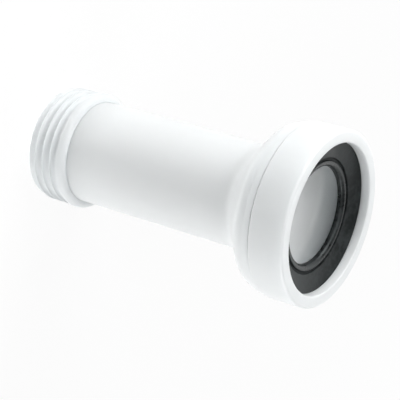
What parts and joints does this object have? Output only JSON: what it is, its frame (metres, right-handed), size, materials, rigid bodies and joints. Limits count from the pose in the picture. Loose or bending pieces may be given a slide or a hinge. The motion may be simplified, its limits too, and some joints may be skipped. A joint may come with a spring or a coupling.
{
  "type": "toilet pan connector",
  "caption": "Straight white plastic pan connector: finned outlet end, plain tube, flared inlet socket with a retaining ring and a black rubber seal.",
  "frame": {"origin": "centre of the outlet end face, on which the part stands", "axes": "+Z along the pipe axis from the outlet to the inlet mouth; the part is turned about Z, so X and Y are free"},
  "size_m": [0.1624, 0.1624, 0.298],
  "materials": {
    "white_moulding": "satin moulded polypropylene",
    "black_rubber": "matt black rubber with a faint bloom",
    "white_soft_seal": "soft white elastomer"
  },
  "bodies": {
    "root": {"connector_body": "white_moulding", "seal_retaining_ring": "white_moulding", "inlet_seal": "black_rubber", "outlet_fin_seal": "white_soft_seal"}
  },
  "joints": []
}
